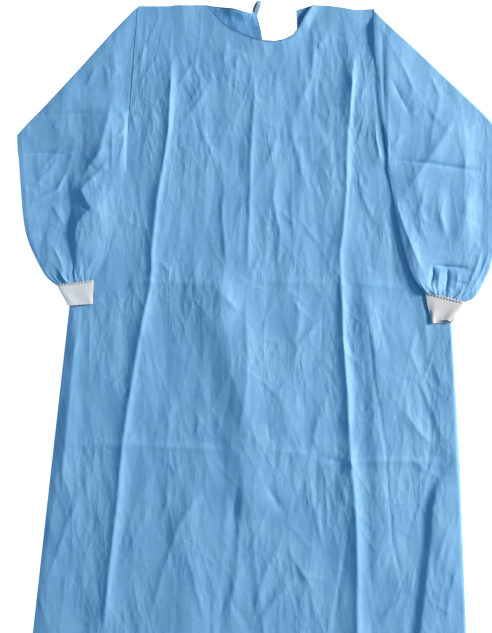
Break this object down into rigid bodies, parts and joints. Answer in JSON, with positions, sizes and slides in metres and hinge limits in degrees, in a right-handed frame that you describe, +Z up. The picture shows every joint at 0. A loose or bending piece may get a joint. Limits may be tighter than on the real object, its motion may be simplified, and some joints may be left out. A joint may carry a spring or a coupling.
{
  "type": "disposable gown laid out flat",
  "caption": "Long blue disposable gown with an open back, full sleeves and white knitted cuffs, laid out flat face up.",
  "frame": {"origin": "middle of the laid-out gown's bounding box, on the surface it lies on", "axes": "+Z up from the surface, +Y from the hem towards the neck, +X to the right as seen from above"},
  "size_m": [0.9211, 1.2451, 0.017],
  "materials": {
    "blue_nonwoven": "matt with a faint sheen",
    "white_rib_knit": "matt",
    "pale_tab": "matt"
  },
  "bodies": {
    "root": {"front_panel": "blue_nonwoven", "back_panel_left": "blue_nonwoven", "back_panel_right": "blue_nonwoven", "sleeve_left": "blue_nonwoven", "sleeve_right": "blue_nonwoven", "cuff_left": "white_rib_knit", "cuff_right": "white_rib_knit", "neck_binding_front": "blue_nonwoven", "neck_binding_back_left": "blue_nonwoven", "neck_binding_back_right": "blue_nonwoven", "neck_tab": "pale_tab"}
  },
  "joints": []
}
